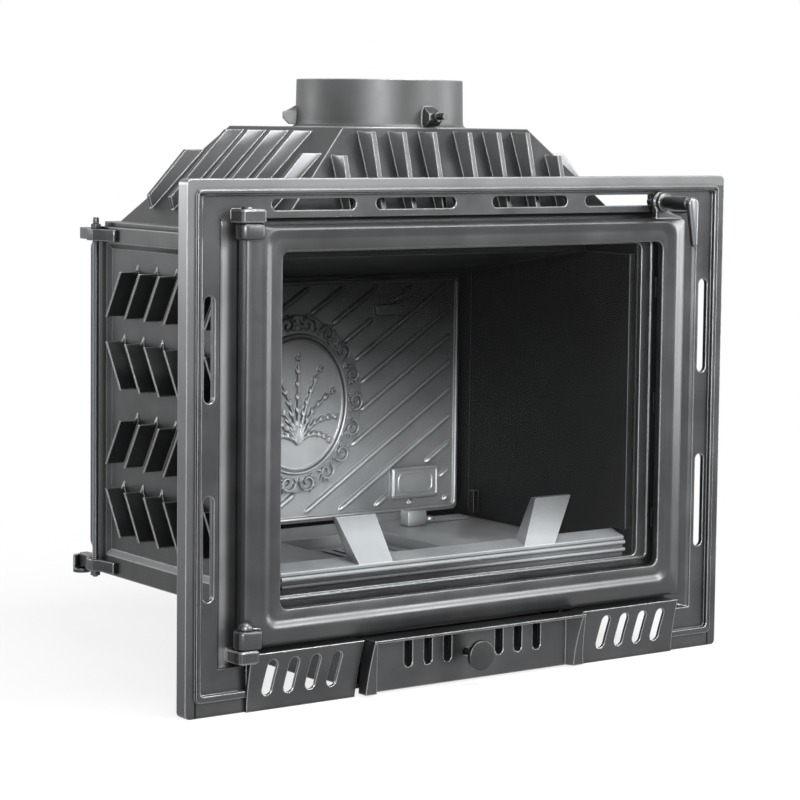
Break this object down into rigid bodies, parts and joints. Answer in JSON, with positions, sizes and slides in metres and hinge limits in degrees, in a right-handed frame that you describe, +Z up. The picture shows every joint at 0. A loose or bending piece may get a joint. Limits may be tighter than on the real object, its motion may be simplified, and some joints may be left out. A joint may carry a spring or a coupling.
{
  "type": "cast iron fireplace insert",
  "caption": "Finned cast iron firebox insert with a glazed side-hung door, slotted front frame, ash drawer with air register, smoke hood and round flue collar.",
  "frame": {"origin": "on the floor plane, centred across the front frame and over the overall depth", "axes": "+X to the right seen from the front, +Y towards the back of the firebox, +Z up"},
  "size_m": [0.77, 0.5223, 0.697],
  "materials": {
    "frame_iron": "satin heat-proof paint on fine cast iron",
    "body_iron": "satin heat-proof paint on rough cast iron",
    "lining_iron": "bare matt cast iron",
    "sooted_iron": "cast iron under a coat of soot",
    "sheet_steel": "plain rolled sheet",
    "bolt_steel": "dull plated steel",
    "lever_steel": "satin steel",
    "knob_iron": "smooth dark paint",
    "rope_seal": "woven glass-fibre rope",
    "stove_glass": "clear ceramic glass"
  },
  "bodies": {
    "stove": {"front_frame": "frame_iron", "lower_grille_left": "frame_iron", "lower_grille_right": "frame_iron", "side_wall_left": "body_iron", "side_wall_right": "body_iron", "back_wall": "body_iron", "base_plate": "body_iron", "front_header": "body_iron", "smoke_hood": "body_iron", "flue_collar": "body_iron", "collar_bolts": "bolt_steel", "baffle_plate": "sooted_iron", "back_lining": "lining_iron", "lining_cleat": "lining_iron", "side_lining_left": "sooted_iron", "side_lining_right": "sooted_iron", "hearth_plate_left": "lining_iron", "hearth_plate_right": "lining_iron", "hearth_plate_front": "lining_iron", "hearth_plate_rear": "lining_iron", "fire_grate": "lining_iron", "log_guard": "lining_iron", "ribbed_sill": "lining_iron", "ash_chamber": "body_iron", "hinge_pin_upper": "bolt_steel", "hinge_pin_lower": "bolt_steel", "tie_rods": "bolt_steel", "tie_rod_nuts": "bolt_steel", "brackets_upper": "body_iron", "brackets_lower": "body_iron"},
    "door": {"door_frame": "frame_iron", "door_glass": "stove_glass", "glass_clips": "bolt_steel", "glass_screws": "bolt_steel", "door_gasket": "rope_seal"},
    "latch": {"latch_spindle": "bolt_steel", "handle_sleeve": "knob_iron", "handle_lever": "lever_steel"},
    "drawer": {"ash_pan": "sheet_steel", "ash_drawer_front": "frame_iron", "drawer_screws": "bolt_steel"},
    "register": {"air_register_plate": "sheet_steel", "register_knob": "knob_iron"}
  },
  "joints": [
    {"name": "door_hinge", "type": "hinge", "parent": "stove", "child": "door", "pos_m": [-0.316, -0.20585, 0.3], "axis": [0, 0, -1], "range_deg": [0, 110]},
    {"name": "latch_turn", "type": "hinge", "parent": "door", "child": "latch", "pos_m": [0.2767, -0.23385, 0.554], "axis": [0, -1, 0], "range_deg": [0, 90]},
    {"name": "drawer_slide", "type": "slide", "parent": "stove", "child": "drawer", "axis": [0, -1, 0], "range_m": [0, 0.2]},
    {"name": "register_slide", "type": "slide", "parent": "drawer", "child": "register", "axis": [1, 0, 0], "range_m": [0, 0.009]}
  ]
}
